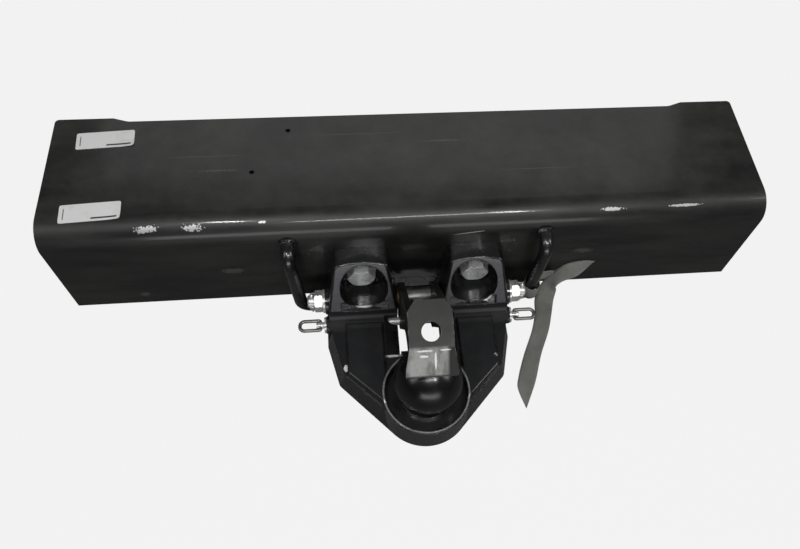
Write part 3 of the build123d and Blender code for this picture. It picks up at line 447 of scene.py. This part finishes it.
def painted(name, dark, light, rough, wear, dusty, scale=16.0, stretch=(1.0, 1.0, 1.0), radius=0.0016,
            coat=0.0, orange_peel=0.12, join_y=None):
    """Painted steel with blotches from dark to light, worn edges and dust."""
    material, tree, shader = start_material(name)
    cloud = use_group(tree, blotches, Scale=scale, Stretch=stretch)
    edge = use_group(tree, worn_edges, Amount=wear, Radius=radius)
    worn, soft_normal = edge.outputs["Mask"], edge.outputs["Normal"]
    if join_y is not None:
        clear = clear_of_join(tree, join_y)
        plain_normal = add_node(tree, "ShaderNodeNewGeometry").outputs["Normal"]
        worn = product(tree, worn, clear)
        blend_normal = add_node(tree, "ShaderNodeMix", data_type="VECTOR")
        for socket, value in zip((0, 4, 5), (clear, plain_normal, soft_normal)):
            tree.links.new(value, blend_normal.inputs[socket])
        soft_normal = blend_normal.outputs[1]
    veil = use_group(tree, dust, Amount=dusty)
    paint = mix_colors(tree, cloud.outputs["Mask"], (*dark, 1.0), (*light, 1.0))
    chipped = mix_colors(tree, worn, paint, WORN_STEEL)
    dusted = mix_colors(tree, veil.outputs["Mask"], chipped, DUST_COLOUR)
    tree.links.new(dusted, shader.inputs["Base Color"])
    tree.links.new(worn, shader.inputs["Metallic"])
    sheen = mix_values(tree, cloud.outputs["Mask"], rough[0], rough[1])
    dusty_sheen = math_node(tree, "MULTIPLY", veil.outputs["Mask"], 0.5)
    tree.links.new(add_values(tree, sheen, dusty_sheen), shader.inputs["Roughness"])
    shader.inputs["Coat Weight"].default_value = coat
    shader.inputs["Coat Roughness"].default_value = 0.10
    peel = add_node(tree, "ShaderNodeTexNoise")
    peel.inputs["Scale"].default_value = PEEL_SCALE
    peel.inputs["Detail"].default_value = 3.0
    peel_place = add_node(tree, "ShaderNodeTexCoord")
    tree.links.new(peel_place.outputs["Object"], peel.inputs["Vector"])
    add_bump(tree, shader, peel.outputs["Fac"], orange_peel, 0.0004, soft_normal)
    return material, tree, shader


def bare_metal(name, dark, light, rough, scale=60.0, radius=0.0006, dirt=0.35, shine=1.0):
    """Bare or plated steel: bright, slightly uneven, with dirt in patches."""
    material, tree, shader = start_material(name)
    cloud = use_group(tree, blotches, Scale=scale)
    grime = use_group(tree, blotches, Scale=scale * 0.4, Low=0.5, High=0.75)
    edge = use_group(tree, worn_edges, Amount=0.0, Radius=radius)
    metal = mix_colors(tree, cloud.outputs["Mask"], (*dark, 1.0), (*light, 1.0))
    grimy = math_node(tree, "MULTIPLY", grime.outputs["Mask"], dirt)
    tree.links.new(mix_colors(tree, grimy, metal, GRIME_COLOUR), shader.inputs["Base Color"])
    tree.links.new(mix_values(tree, grimy, shine, 0.4), shader.inputs["Metallic"])
    sheen = mix_values(tree, cloud.outputs["Mask"], rough[0], rough[1])
    tree.links.new(sheen, shader.inputs["Roughness"])
    add_bump(tree, shader, cloud.outputs["Mask"], 0.15, 0.0003, edge.outputs["Normal"])
    return material, tree, shader


def lay_over(tree, shader, label, mask, value):
    """Blends a colour or a number over whatever feeds a shader's input."""
    under = shader.inputs[label].links[0].from_socket
    if isinstance(value, tuple):
        over = mix_colors(tree, mask, under, (*value, 1.0))
    else:
        rest = math_node(tree, "SUBTRACT", 1.0, mask)
        over = math_node(tree, "ADD", product(tree, under, rest), product(tree, mask, value))
    tree.links.new(over, shader.inputs[label])


def marks_mask(tree, marks):
    """Sum of spots, each with middle and half sizes in mm, turn in degrees, ragged and soft."""
    total = None
    for middle, size, turn, ragged, soft in marks:
        mark = use_group(tree, spot, Place=[v * MM for v in middle], Size=[v * MM for v in size],
                         Turn=math.radians(turn), Ragged=ragged, Soft=soft).outputs["Mask"]
        total = mark if total is None else add_values(tree, total, mark)
    return total


# %% [markdown]
# The beam has a thin satin coat of dark olive grey. Rolling and wiping leave streaks
# along its length, so its blotches are stretched along X.

# %% Beam paint
beam_paint, tree, shader = painted(
    "beam_paint", dark=(0.007, 0.0072, 0.0068), light=(0.019, 0.0195, 0.017), rough=(0.34, 0.5),
    wear=0.4, dusty=0.10, scale=7.0, stretch=(1.0, 5.0, 5.0), radius=0.002, coat=0.35)

# %% [markdown]
# Knocks have taken the paint off the bend in five places, two of them long scrapes, and left two
# scratches on the front wall. Duller scuffs lie on the wall and, as long faint streaks, on the top. A
# soft pale patch on the wall over the left arm is a painted reflection of the arm in the glossy wall,
# in the scuffs' grey. Each mark is given by its middle and half sizes in mm, its turn in degrees, and
# how ragged and soft its edge is.

# %% Marks on the beam
SCUFF_AND_REFLECTION_GREY = (0.060, 0.061, 0.056)
CHIP_STEEL = (0.62, 0.62, 0.61)
CHIPS = [
    ((-309.0, 170.0, 77.5), (12.0, 4.5, 3.0), 4.0, 1.0, 0.1),
    ((-258.0, 170.0, 77.5), (10.0, 3.5, 3.5), -3.0, 1.2, 0.1),
    ((-180.0, 172.5, 79.5), (4.5, 1.6, 1.6), 0.0, 0.8, 0.1),
    ((234.0, 170.8, 77.8), (13.0, 2.4, 2.2), 0.0, 0.8, 0.1),
    ((325.0, 171.6, 78.4), (20.0, 1.8, 1.5), 0.0, 0.7, 0.1),
    ((62.0, 159.4, 58.0), (20.0, 3.0, 0.7), 7.0, 0.5, 0.2),
    ((96.0, 159.0, 22.0), (13.0, 3.0, 0.8), 43.0, 0.5, 0.2),
]
SCUFFS_AND_REFLECTION = [
    ((-226.0, 159.0, -3.0), (15.0, 3.0, 6.0), 0.0, 0.7, 0.3),
    ((-342.0, 159.0, -49.0), (6.0, 3.0, 5.0), 30.0, 0.7, 0.4),
    ((213.0, 159.0, 5.0), (14.0, 3.0, 6.0), 0.0, 0.8, 0.5),
    # painted reflection of the left arm in the glossy wall
    ((-64.0, 159.0, 30.0), (26.0, 8.0, 34.0), 0.0, 0.15, 0.6),
    ((-68.0, 296.0, 84.0), (70.0, 0.7, 2.0), 0.0, 0.2, 0.5),
    ((-250.0, 268.0, 84.0), (52.0, 0.9, 2.0), 0.0, 0.6, 0.6),
    ((-232.0, 246.0, 84.0), (30.0, 1.4, 2.0), 0.0, 0.9, 0.6),
    ((40.0, 281.0, 84.0), (36.0, 1.8, 2.0), 0.0, 0.7, 0.7),
    ((150.0, 232.0, 84.0), (64.0, 0.8, 2.0), 0.0, 0.4, 0.6),
]
chip_mask = marks_mask(tree, CHIPS)
scuff_and_reflection_mask = marks_mask(tree, SCUFFS_AND_REFLECTION)
# the scuffs and the painted reflection over the left arm share one grey
lay_over(tree, shader, "Base Color", scuff_and_reflection_mask, SCUFF_AND_REFLECTION_GREY)
lay_over(tree, shader, "Base Color", chip_mask, CHIP_STEEL)
lay_over(tree, shader, "Metallic", chip_mask, 0.5)
print("chips", len(CHIPS), "scuffs", len(SCUFFS_AND_REFLECTION))

# %% [markdown]
# The carrier is forged, so it gets a thick glossy black coat over a slightly lumpy skin. Its worn
# edges are set wide, so that their bare steel also stands in for thin painted highlights along its
# edges. Its nose and arms are separate nodes of one forging, so where they meet the edges are kept
# plain. The hold-down has the same coat, duller where the coupling rubs on it, and painted lighter
# there, partly as a painted reflection.

# %% Carrier, hold-down and ball paint
JOIN_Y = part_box("ball_carrier")[1].y
CARRIER_COAT = 0.6
# the carrier's wide worn edges are partly wear and partly painted highlights along its edges
carrier_paint, tree, shader = painted(
    "carrier_paint", dark=(0.004, 0.004, 0.0045), light=(0.010, 0.010, 0.010), rough=(0.22, 0.34),
    wear=0.55, dusty=0.05, scale=30.0, radius=0.0022, coat=CARRIER_COAT,
    orange_peel=0.15, join_y=JOIN_Y)
hold_down_paint, tree, shader = painted(
    "hold_down_paint", dark=(0.007, 0.0075, 0.0068), light=(0.016, 0.016, 0.0145), rough=(0.34, 0.5),
    wear=0.8, dusty=0.12, scale=40.0, radius=0.0015)
shader.inputs["Specular IOR Level"].default_value = 0.32
ball_steel, tree, shader = painted(
    "ball_steel", dark=(0.003, 0.003, 0.0035), light=(0.005, 0.005, 0.005), rough=(0.22, 0.32),
    wear=0.0, dusty=0.03, scale=24.0, radius=0.002, coat=0.1, orange_peel=0.05)

# %% [markdown]
# The arms' sloping faces are painted a lighter blue grey, a painted reflection of the light in front,
# and faces that look up are painted a little lighter, a painted sheen. Thin bright arcs on the
# pockets' lips and small spots on the decks' corners and on the flank behind the left deck are painted
# highlights. In the hollow at the arms' feet the coat is dull with road dirt, so it mirrors nothing.

# %% Painted sheen and highlights on the carrier, and its dull feet
SLOPE_NORMAL = (0.0, -0.876, 0.482)
SLOPE_LIKENESS = (0.97, 0.995)
SLOPE_SHEEN_GREY = (0.046, 0.047, 0.053)
LEVEL_LIKENESS = (0.95, 0.99)
LEVEL_SHEEN_BLACK = (0.015, 0.0155, 0.0165)
GLINT_WHITE = (0.80, 0.80, 0.79)
FOOT_FRONT = (0.086, 0.089)
FOOT_REAR = (0.107, 0.1045)
FOOT_TOP = (-0.0205, -0.0235)
# painted glints on the decks' corners and on the flank behind the left deck
GLINT_SPOTS = [
    ((-93.8, 37.5, -40.0), (3.2, 5.0, 6.0), 0.0, 0.4, 0.3),
    ((88.7, 41.0, -40.0), (3.6, 3.8, 6.0), 0.0, 0.4, 0.3),
    ((-36.0, 50.0, -43.0), (12.0, 2.2, 4.0), 0.0, 0.5, 0.4),
]
POCKET_LIP_Y = 0.110
POCKET_ARCS = ((-0.068, -0.006, 0.0165, -0.090), (0.070, -0.008, 0.020, 0.064))
ARC_LINE = (0.0019, 0.0007)
ARC_LOWER = (-0.001, -0.007)
ARC_DEPTH = (0.0016, 0.0008)
ARC_END = 0.006


def arc_mask(tree, place, arc):
    """Mask of a painted highlight, the lower part of a circle on the lip's wall: middle x and z,
    radius, lowest x.
    """
    x, y, z = place
    middle_x, middle_z, radius, lowest_x = arc
    off_x = math_node(tree, "SUBTRACT", x, middle_x)
    off_z = math_node(tree, "SUBTRACT", z, middle_z)
    off_line = distance_from(tree, length_of(tree, off_x, off_z), radius)
    return product(
        tree, between(tree, off_line, *ARC_LINE), between(tree, off_z, *ARC_LOWER),
        between(tree, distance_from(tree, y, POCKET_LIP_Y), *ARC_DEPTH),
        between(tree, x, lowest_x, lowest_x + ARC_END))


tree = carrier_paint.node_tree
shader = tree.nodes["Principled BSDF"]
slope_facing = add_node(tree, "ShaderNodeNewGeometry")
slope_likeness = add_node(tree, "ShaderNodeVectorMath", operation="DOT_PRODUCT")
tree.links.new(slope_facing.outputs["Normal"], slope_likeness.inputs[0])
slope_likeness.inputs[1].default_value = SLOPE_NORMAL
slope_sheen_mask = between(tree, slope_likeness.outputs["Value"], *SLOPE_LIKENESS)
# painted reflection: faces that slope like the arms' fronts are painted a lighter blue grey
lay_over(tree, shader, "Base Color", slope_sheen_mask, SLOPE_SHEEN_GREY)
slope_parts = add_node(tree, "ShaderNodeSeparateXYZ")
tree.links.new(slope_facing.outputs["Normal"], slope_parts.inputs[0])
level_sheen_mask = between(tree, slope_parts.outputs["Z"], *LEVEL_LIKENESS)
# painted sheen: faces that look up are painted a little lighter than the black coat
lay_over(tree, shader, "Base Color", level_sheen_mask, LEVEL_SHEEN_BLACK)
carrier_place = object_place(tree)
foot_mask = product(
    tree, between(tree, carrier_place[1], *FOOT_FRONT), between(tree, carrier_place[1], *FOOT_REAR),
    between(tree, carrier_place[2], *FOOT_TOP))
lay_over(tree, shader, "Roughness", foot_mask, 0.75)
tree.links.new(mix_values(tree, foot_mask, CARRIER_COAT, 0.0), shader.inputs["Coat Weight"])
glint_mask = marks_mask(tree, GLINT_SPOTS)
for arc in POCKET_ARCS:
    glint_mask = add_values(tree, glint_mask, arc_mask(tree, carrier_place, arc))
# painted highlights: the glints and the bright arcs on the pockets' lips
lay_over(tree, shader, "Base Color", glint_mask, GLINT_WHITE)
print("bare spots", len(GLINT_SPOTS), "arcs", len(POCKET_ARCS))

# %% [markdown]
# The coupling rubs the paint off two places, the top of the well's rim and the hold-down's lip, and
# both are painted lighter for the light as well: the rim's top shows as a thin bright ring that is
# also a painted highlight, and the lip is also a painted reflection of the light in front. Thin lines
# along the hold-down's bend and a streak down its lip are painted highlights. The rim and lip masks
# come from the place alone. Each pair of limits says where a mask begins and where it is full.

# %% Rubbed rim and lip, with painted highlight and reflection
RIM_RADIUS = 0.0508
RIM_HALF = 0.0016
RIM_LOW = -0.0385
LIP_REAR = (0.0045, 0.0015)
LIP_RIGHT = (0.019, 0.016)
LIP_FRONT = (-0.0195, -0.018)
RUB_AND_REFLECTION_SHARE = 0.45
RUB_AND_REFLECTION_LEAST = 0.22
tree = carrier_paint.node_tree
shader = tree.nodes["Principled BSDF"]
off_ring = distance_from(tree, length_of(tree, carrier_place[0], carrier_place[1]), RIM_RADIUS)
patchy = use_group(tree, blotches, Scale=60.0, Low=0.25, High=0.5)
rim_rub_and_highlight_mask = product(
    tree, between(tree, off_ring, RIM_HALF, RIM_HALF * 0.4),
    between(tree, carrier_place[2], RIM_LOW, RIM_LOW + 0.001), patchy.outputs["Mask"])
# rubbed paint and painted highlight: a thin bright ring on the rim's top
lay_over(tree, shader, "Base Color", rim_rub_and_highlight_mask, (0.55, 0.55, 0.54))
lay_over(tree, shader, "Metallic", rim_rub_and_highlight_mask, 0.6)

tree = hold_down_paint.node_tree
shader = tree.nodes["Principled BSDF"]
lip_x, lip_y, _ = object_place(tree)
rub_and_reflection_patches = use_group(tree, blotches, Scale=95.0, Stretch=(1.0, 0.5, 0.5), Low=0.34, High=0.60)
lip_area = product(
    tree, between(tree, lip_y, *LIP_REAR), between(tree, lip_x, *LIP_RIGHT),
    between(tree, lip_y, *LIP_FRONT))
patchy_rub_and_reflection = math_node(tree, "MULTIPLY", rub_and_reflection_patches.outputs["Mask"], RUB_AND_REFLECTION_SHARE)
lip_rub_and_reflection_mask = product(tree, lip_area, add_values(tree, patchy_rub_and_reflection, RUB_AND_REFLECTION_LEAST))
# rubbed paint and painted reflection of the light in front, on the hold-down's lip
lay_over(tree, shader, "Base Color", lip_rub_and_reflection_mask, (0.50, 0.50, 0.49))
# painted highlights: thin lines along the hold-down's bend and a streak down its lip
HOLD_DOWN_GLINTS = [
    ((3.5, -8.0, 69.0), (1.4, 11.0, 12.0), 0.0, 0.25, 0.3),
    ((-8.0, 0.0, 78.0), (11.0, 1.3, 2.0), 0.0, 0.3, 0.3),
    ((-9.0, -4.0, 73.0), (6.0, 1.6, 2.2), 0.0, 0.4, 0.3),
    ((14.0, 0.5, 78.0), (7.0, 0.9, 2.0), 0.0, 0.3, 0.3),
]
hold_down_glint_mask = marks_mask(tree, HOLD_DOWN_GLINTS)
lay_over(tree, shader, "Base Color", hold_down_glint_mask, GLINT_WHITE)
lay_over(tree, shader, "Metallic", hold_down_glint_mask, 0.3)

# %% [markdown]
# Bolts, nuts and pins are zinc plated and bright, the loops are older wire. The bushes
# in the hold-down are bronze, dark with grease.

# %% Metals
zinc, tree, shader = bare_metal(
    "zinc", dark=(0.60, 0.62, 0.60), light=(0.80, 0.82, 0.80), rough=(0.20, 0.38), shine=0.6)
worn_steel, tree, shader = bare_metal(
    "worn_steel", dark=(0.22, 0.22, 0.21), light=(0.38, 0.38, 0.37), rough=(0.35, 0.55))
bronze, tree, shader = bare_metal(
    "bronze", dark=(0.09, 0.065, 0.035), light=(0.16, 0.12, 0.07), rough=(0.4, 0.6), dirt=0.8)
pad_plastic, tree, shader = painted(
    "pad_plastic", dark=(0.02, 0.02, 0.02), light=(0.035, 0.035, 0.035), rough=(0.5, 0.7),
    wear=0.0, dusty=0.1)

# %% [markdown]
# The tape is a woven strip, warm grey and matt. Its weave is two crossed waves, fine
# enough to show only close by.

# %% Tape cloth
CLOTH_DARK = (0.135, 0.135, 0.122, 1.0)
CLOTH_PALE = (0.20, 0.20, 0.182, 1.0)
THREAD_SCALE = 450.0
tape_cloth, tree, shader = start_material("tape_cloth")
fade = use_group(tree, blotches, Scale=30.0)
cloth_colour = mix_colors(tree, fade.outputs["Mask"], CLOTH_DARK, CLOTH_PALE)
tree.links.new(cloth_colour, shader.inputs["Base Color"])
shader.inputs["Roughness"].default_value = 0.85
shader.inputs["Sheen Weight"].default_value = 0.2
weave_place = add_node(tree, "ShaderNodeTexCoord")
threads = []
for direction in ("X", "Y"):
    wave = add_node(tree, "ShaderNodeTexWave", bands_direction=direction)
    wave.inputs["Scale"].default_value = THREAD_SCALE
    tree.links.new(weave_place.outputs["Object"], wave.inputs["Vector"])
    threads.append(wave.outputs["Fac"])
add_bump(tree, shader, product(tree, *threads), 0.3, 0.0003)

# %% Put the finishes on the nodes
finishes = {
    "beam_paint": beam_paint, "carrier_paint": carrier_paint, "hold_down_paint": hold_down_paint,
    "ball_steel": ball_steel, "zinc": zinc, "worn_steel": worn_steel, "bronze": bronze,
    "pad_plastic": pad_plastic, "tape": tape_cloth,
}
for entry in frame["record"]["subparts"]:
    node = nodes[entry["node"]]
    node.data.materials.clear()
    node.data.materials.append(finishes[entry["material_slot"]])

# %% [markdown]
# Two paper labels are stuck on the beam's top near its left end. Each is a thin sheet
# with rounded corners, of which one lifts a little, and carries only two plain bars.

# %% Labels
LABEL_GAP = 0.00012
LABEL_THICK = 0.00025
LABEL_SIZE = (0.067, 0.025)
LABEL_TURN = math.radians(3.0)
LABEL_PLACES = (("label_rear", (-0.367, 0.299)), ("label_front", (-0.371, 0.193)))
LIFT_LEFT, LIFT_REAR = 0.75, 0.6
PAPER_WHITE = (0.88, 0.88, 0.87, 1.0)
PAPER_SMUDGE = (0.72, 0.71, 0.68, 1.0)
INK = (0.05, 0.05, 0.05, 1.0)
BARS = ((0.52, 0.95, 0.10, 0.22), (0.06, 0.085, 0.18, 0.80))


def paper_label(name, middle, size, turn, corner=0.002, lift=0.0016, steps=(24, 10)):
    """Thin paper rectangle on the beam's top, with its front right corner lifting."""
    columns, rows = steps
    width, depth = size
    points = []
    faces = []
    for row in range(rows + 1):
        for column in range(columns + 1):
            u, v = column / columns, row / rows
            x, y = (u - 0.5) * width, (v - 0.5) * depth
            inset_x = max(abs(x) - (width / 2 - corner), 0.0)
            inset_y = max(abs(y) - (depth / 2 - corner), 0.0)
            reach = math.hypot(inset_x, inset_y)
            if reach > corner:
                x -= math.copysign(inset_x * (1 - corner / reach), x)
                y -= math.copysign(inset_y * (1 - corner / reach), y)
            lifting = max(0.0, u - LIFT_LEFT) * max(0.0, LIFT_REAR - v)
            loose = lifting / ((1.0 - LIFT_LEFT) * LIFT_REAR)
            points.append((x, y, lift * loose ** 2))
    for row in range(rows):
        for column in range(columns):
            first = row * (columns + 1) + column
            faces.append((first, first + 1, first + columns + 2, first + columns + 1))
    mesh = bpy.data.meshes.new(name)
    mesh.from_pydata(points, [], faces)
    flat = mesh.uv_layers.new(name="flat")
    for loop in mesh.loops:
        row, column = divmod(loop.vertex_index, columns + 1)
        flat.data[loop.index].uv = (column / columns, row / rows)
    mesh.transform(Matrix.Translation((*middle, top_z + LABEL_GAP)) @ Matrix.Rotation(turn, 4, "Z"))
    label = bpy.data.objects.new(name, mesh)
    bpy.context.scene.collection.objects.link(label)
    thick = label.modifiers.new("paper", "SOLIDIFY")
    thick.thickness = LABEL_THICK
    thick.offset = 1.0
    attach(label, "frame")
    return label


def printed_bar(tree, across, up, left, right, low, high):
    """Mask of a plain rectangle in the label's own coordinates."""
    sides = ((across, left, left + 0.01), (across, right, right - 0.01),
             (up, low, low + 0.03), (up, high, high - 0.03))
    return product(tree, *(between(tree, value, edge, full) for value, edge, full in sides))


paper, tree, shader = start_material("paper")
smudge = use_group(tree, blotches, Scale=45.0, Low=0.5, High=0.8)
sheet_colour = mix_colors(tree, smudge.outputs["Mask"], PAPER_WHITE, PAPER_SMUDGE)
print_place = add_node(tree, "ShaderNodeUVMap", uv_map="flat")
print_parts = add_node(tree, "ShaderNodeSeparateXYZ")
tree.links.new(print_place.outputs["UV"], print_parts.inputs[0])
across, upward = print_parts.outputs["X"], print_parts.outputs["Y"]
ink = add_values(tree, *(printed_bar(tree, across, upward, *limits) for limits in BARS))
tree.links.new(mix_colors(tree, ink, sheet_colour, INK), shader.inputs["Base Color"])
shader.inputs["Roughness"].default_value = 0.45
fibre = use_group(tree, blotches, Scale=900.0)
add_bump(tree, shader, fibre.outputs["Mask"], 0.05, 0.0001)

for name, middle in LABEL_PLACES:
    label = paper_label(name, middle, LABEL_SIZE, LABEL_TURN)
    label.data.materials.append(paper)
print("labels", LABEL_SIZE)

# %% [markdown]
# The tape is one woven strip. Its short end stands off the beam, and its long end folds
# down to the floor and lies there. Each stretch is given by a few stations, each with
# the two edges of the strip, in mm. A second piece is the turn round the bar.

# %% Tape helpers


def smooth_row(rows, position):
    """Point on a smooth curve through rows of numbers, at a position counted in rows."""
    last = len(rows) - 1
    index = min(int(position), last - 1)
    t = position - index
    before, here, after, beyond = (rows[max(0, min(last, index + k))] for k in (-1, 0, 1, 2))
    return [0.5 * (2 * b + (c - a) * t + (2 * a - 5 * b + 4 * c - d) * t * t
                   + (3 * b - a - 3 * c + d) * t ** 3)
            for a, b, c, d in zip(before, here, after, beyond)]


def ribbon(points, faces, stations, per_station=8, across=6, cup=0.0007):
    """Adds a strip to lists of points and faces and returns its length."""
    rows = [[value * MM for value in left + right] for left, right in stations]
    count = (len(rows) - 1) * per_station
    first = len(points)
    length = 0.0
    previous = None
    for step in range(count + 1):
        row = smooth_row(rows, step / per_station)
        left, right = Vector(row[:3]), Vector(row[3:])
        middle = (left + right) / 2
        if previous is not None:
            length += (middle - previous).length
        previous = middle
        for place in range(across + 1):
            share = place / across
            sag = Vector((0, 0, cup * (2 * share - 1) ** 2))
            points.append(tuple(left.lerp(right, share) + sag))
    for step in range(count):
        for place in range(across):
            corner = first + step * (across + 1) + place
            faces.append((corner, corner + 1, corner + across + 2, corner + across + 1))
    return length


# %% Tape
TAPE_WIDTH = 0.0235
ground = floor_z / MM + 0.5
STRIP = [
    ((234.0, 156.6, -20.0), (232.6, 155.6, -21.0)),
    ((218.3, 156.8, -17.4), (211.0, 142.0, -31.0)),
    ((197.1, 156.6, -24.0), (193.0, 139.0, -38.0)),
    ((180.0, 154.0, -43.0), (184.0, 135.0, -44.0)),
    ((168.0, 149.0, -64.0), (188.5, 139.0, -63.0)),
    ((160.5, 135.0, ground), (184.5, 128.5, ground + 3.0)),
    ((156.4, 111.6, ground), (180.0, 112.7, ground + 0.6)),
    ((148.5, 87.0, ground + 0.3), (171.0, 85.6, ground)),
    ((132.8, 54.0, ground), (155.5, 53.0, ground + 0.5)),
    ((121.2, 25.0, ground + 0.5), (143.0, 19.5, ground)),
    ((117.8, 8.5, ground), (134.8, 2.0, ground)),
    ((124.2, -17.5, ground), (124.8, -17.5, ground)),
]
TURN_RADIUS = 10.4
TURN_HEIGHT = -44.0
BAR_PLACE = (150.0, 137.0)
TURN_STEPS = 7
TURN_START, TURN_STEP = 70.0, 60.0
TURN_DROP = 0.4
CLOTH_THICK = 0.0005
turn = [((182.0, 152.0, -52.0), (182.0, 152.0, -31.0)), ((168.0, 152.5, -55.0), (168.0, 152.5, -33.0))]
for step in range(TURN_STEPS):
    angle = math.radians(TURN_START + TURN_STEP * step)
    turn_x = BAR_PLACE[0] + TURN_RADIUS * math.cos(angle)
    turn_y = BAR_PLACE[1] + TURN_RADIUS * math.sin(angle)
    low = TURN_HEIGHT - TAPE_WIDTH / 2 / MM - TURN_DROP * step
    turn.append(((turn_x, turn_y, low), (turn_x, turn_y, low + TAPE_WIDTH / MM)))

tape_points, tape_faces = [], []
tape_length = ribbon(tape_points, tape_faces, STRIP)
turn_length = ribbon(tape_points, tape_faces, turn, cup=0.0)
tape_mesh = bpy.data.meshes.new("tape")
tape_mesh.from_pydata(tape_points, [], tape_faces)
tape_mesh.shade_smooth()
tape = bpy.data.objects.new("tape", tape_mesh)
bpy.context.scene.collection.objects.link(tape)
tape_thick = tape.modifiers.new("cloth", "SOLIDIFY")
tape_thick.thickness = CLOTH_THICK
tape_mesh.materials.append(tape_cloth)
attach(tape, "frame")
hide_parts("tape_strip")
